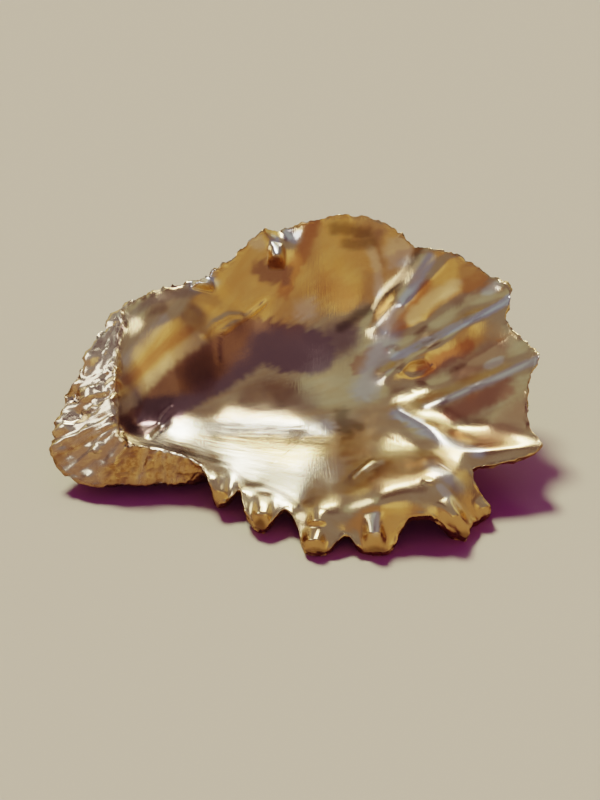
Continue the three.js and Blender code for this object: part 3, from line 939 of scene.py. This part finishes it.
def makeGilding():
    material = bpy.data.materials.new("gilding")
    material.use_nodes = True
    tree = material.node_tree
    shader = tree.nodes["Principled BSDF"]
    shader.inputs["Metallic"].default_value = 1
    here = node(tree, "TexCoord").outputs["Object"]
    broken = mask(tree, "broken")

    # colour: deep and light gold in clouds, then three colours of painted shade and two of painted reflection
    # and highlight from the stroke masks, brown in the broken parts, and painted shade in the pits
    lines = node(tree, "UVMap", uv_map="growth").outputs["UV"]
    clouds = spread(tree, noiseOf(tree, stretched(tree, lines, (1.6, 22, 1)), 1, 5, 0.6), 0.35, 0.65)
    colour = mixColour(tree, clouds, gilding["lightGold"], gilding["deepGold"])
    for name in ("amber", "dusk", "silver", "cream", "umber"):
        colour = mixColour(tree, mask(tree, name), colour, gilding[name])
    crumbs = spread(tree, noiseOf(tree, here, gilding["crumbScale"], 5, 0.65), 0.45, 0.62)
    worn = mathOf(tree, "MULTIPLY", crumbs, broken)
    worn = mathOf(tree, "MULTIPLY", worn, gilding["wornAmount"])
    colour = mixColour(tree, worn, colour, gilding["wornBrown"])
    # painted shade in the pits and at the foot of the hinge block, in the dusk colour
    dark = mathOf(tree, "MULTIPLY", mask(tree, "paintedPitShade"), gilding["paintedPitShadeAmount"])
    colour = mixColour(tree, dark, colour, gilding["dusk"])
    tree.links.new(colour, shader.inputs["Base Color"])

    rough = spread(tree, broken, 0, 1, gilding["glossRoughness"], gilding["brokenRoughness"])
    smears = noiseOf(tree, here, gilding["smearScale"], 4)
    rough = mathOf(tree, "ADD", rough, spread(tree, smears, 0.3, 0.7, -0.04, 0.06))
    tree.links.new(rough, shader.inputs["Roughness"])

    # fine relief: striae along the growth, a grain all over, crumpled leaf on the broken parts
    striae = noiseOf(tree, stretched(tree, lines, (2.2, 95, 1)), 1, 3, 0.6)
    striae = mathOf(tree, "MULTIPLY", striae, spread(tree, mask(tree, "striated"), 0, 1, 0.15, 1))
    normal = bumpOn(tree, striae, gilding["striaeHeight"])
    plane = node(tree, "UVMap", uv_map="plane").outputs["UV"]
    grain = noiseOf(tree, stretched(tree, plane, (3.2, 0.5, 1)), 1, 3, 0.6)
    normal = bumpOn(tree, grain, gilding["grainHeight"], normal)
    tremor = noiseOf(tree, here, gilding["tremorScale"], 2)
    normal = bumpOn(tree, tremor, gilding["tremorHeight"], normal)
    crumple = mathOf(tree, "MULTIPLY", noiseOf(tree, here, gilding["crumpleScale"], 4, 0.6), broken)
    normal = bumpOn(tree, crumple, gilding["crumpleHeight"], normal)
    tree.links.new(normal, shader.inputs["Normal"])
    return material


piece = makeShell()
piece.data.materials.append(makeGilding())
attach(piece, "root")
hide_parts("oyster_valve")
print("stage 2: the shell is modelled,", len(piece.data.polygons) * 2, "triangles")

# Floor
floor = {"size": 6, "colour": (0.56, 0.52, 0.36, 1), "mirrored": (0.33, 0.23, 0.13, 1), "roughness": 0.75}


def makeFloor():
    bm = bmesh.new()
    bmesh.ops.create_grid(bm, x_segments=1, y_segments=1, size=floor["size"] / 2)
    mesh = bpy.data.meshes.new("floor")
    bm.to_mesh(mesh)
    bm.free()
    made = bpy.data.objects.new("floor", mesh)
    bpy.context.scene.collection.objects.link(made)
    material = bpy.data.materials.new("paleFloor")
    material.use_nodes = True
    tree = material.node_tree
    shader = tree.nodes["Principled BSDF"]
    mirrored = node(tree, "LightPath").outputs["Is Glossy Ray"]
    colour = mixColour(tree, mirrored, floor["colour"], floor["mirrored"])
    tree.links.new(colour, shader.inputs["Base Color"])
    shader.inputs["Roughness"].default_value = floor["roughness"]
    shader.inputs["Specular IOR Level"].default_value = 0
    mesh.materials.append(material)


makeFloor()

# Light: what the gilding mirrors is a dim room with a large soft light behind the shell, pale
# walls low down and a bluish light on the left; the floor has a soft key light and a purple gloom
room = {
    "dark": (0.1, 0.062, 0.08, 1),
    "overhead": (0.2, 0.17, 0.19, 1),
    "frontWall": (0.28, 0.17, 0.12, 1),
    "rightWall": (0.45, 0.3, 0.15, 1),
    "behind": (0.62, 0.5, 0.28, 1),
    "gloom": (0.21, 0.04, 0.22, 1),
}

# Soft patches of light in the room, in degrees: where the middle is, and over which angles each
# fades out to the sides, in from below and out above
patches = {
    "sill": {
        "at": 14,
        "side": (22, 32),
        "low": (27, 33),
        "high": (50, 54),
        "colour": (1.5, 1.45, 1.15, 1),
    },
    "softbox": {
        "at": 14,
        "side": (20, 30),
        "low": (46, 52),
        "high": (58, 66),
        "colour": (9, 9, 8.6, 1),
    },
    "lamp": {
        "at": 154,
        "side": (14, 26),
        "low": (10, 20),
        "high": (32, 42),
        "colour": (0.62, 0.46, 0.25, 1),
    },
    "window": {
        "at": -95,
        "side": (25, 45),
        "low": (34, 46),
        "high": (66, 78),
        "colour": (0.3, 0.31, 0.31, 1),
    },
}
key = {"energy": 3.3, "colour": (0.93, 1, 0.84), "angle": math.radians(14), "from": (-0.32, 0.45, 1)}


# A white card over the hinge end, seen only in the gilding
card = {"size": 45 * mm, "energy": 0.012, "at": (-72, -14, 61), "faces": (-38, 0, 14)}


def makeCard():
    data = bpy.data.lights.new("card", "AREA")
    data.size = card["size"]
    data.energy = card["energy"]
    made = bpy.data.objects.new("card", data)
    made.visible_camera = False
    made.visible_diffuse = False
    made.location = Vector(card["at"]) * mm
    away = Vector(card["at"]) - Vector(card["faces"])
    made.rotation_euler = away.to_track_quat("Z", "Y").to_euler()
    bpy.context.scene.collection.objects.link(made)


def makeRoom():
    world = bpy.data.worlds.new("studio")
    bpy.context.scene.world = world
    world.use_nodes = True
    tree = world.node_tree
    direction = node(tree, "SeparateXYZ")
    tree.links.new(node(tree, "TexCoord").outputs["Generated"], direction.inputs[0])
    x, y, z = direction.outputs
    degrees = 180 / math.pi
    elevation = mathOf(tree, "MULTIPLY", mathOf(tree, "ARCSINE", z, 0), degrees)
    azimuth = mathOf(tree, "MULTIPLY", mathOf(tree, "ARCTAN2", x, y), degrees)
    turn = mathOf(tree, "ABSOLUTE", azimuth, 0)
    front = spread(tree, turn, 80, 125)
    wall = mixColour(tree, spread(tree, azimuth, 60, 140), room["frontWall"], room["rightWall"])
    colour = mixColour(tree, spread(tree, elevation, 66, 84), room["overhead"], room["dark"])
    behind = mixColour(tree, spread(tree, turn, 50, 90), room["behind"], room["dark"])
    colour = mixColour(tree, spread(tree, elevation, 20, 34), behind, colour)
    low = mathOf(tree, "MULTIPLY", front, spread(tree, elevation, 22, 36, 1, 0))
    colour = mixColour(tree, low, colour, wall)
    for patch in patches.values():
        away = mathOf(tree, "ABSOLUTE", mathOf(tree, "SUBTRACT", azimuth, patch["at"]), 0)
        above = spread(tree, elevation, *patch["low"])
        below = spread(tree, elevation, *patch["high"], 1, 0)
        band = mathOf(tree, "MULTIPLY", above, below)
        band = mathOf(tree, "MULTIPLY", band, spread(tree, away, *patch["side"], 1, 0))
        colour = mixColour(tree, band, colour, patch["colour"])
    scattered = mathOf(tree, "MINIMUM", node(tree, "LightPath").outputs["Diffuse Depth"], 1)
    colour = mixColour(tree, scattered, colour, room["gloom"])
    tree.links.new(colour, tree.nodes["Background"].inputs["Color"])


def makeKey():
    data = bpy.data.lights.new("key", "SUN")
    data.energy = key["energy"]
    data.color = key["colour"]
    data.angle = key["angle"]
    lamp = bpy.data.objects.new("key", data)
    lamp.visible_glossy = False
    lamp.rotation_euler = Vector(key["from"]).to_track_quat("Z", "Y").to_euler()
    bpy.context.scene.collection.objects.link(lamp)


makeRoom()
makeKey()
makeCard()

# Camera: a long lens looking down at the hollow, as the photograph is taken
camera = {
    "lens": 85,
    "elevation": math.radians(35),
    "distance": 343 * mm,
    "target": Vector((0.77, -2.21, 15.2)) * mm,
}


def makeCamera():
    data = bpy.data.cameras.new("camera")
    data.lens = camera["lens"]
    data.clip_start = 0.01
    made = bpy.data.objects.new("camera", data)
    bpy.context.scene.collection.objects.link(made)
    back = Vector((0, -math.cos(camera["elevation"]), math.sin(camera["elevation"])))
    made.location = camera["target"] + back * camera["distance"]
    made.rotation_euler = (-back).to_track_quat("-Z", "Y").to_euler()
    bpy.context.scene.camera = made


makeCamera()
view = bpy.context.scene.view_settings
view.view_transform = "Filmic"
view.look = "Medium High Contrast"
print("stage 3: floor, light and camera are set")
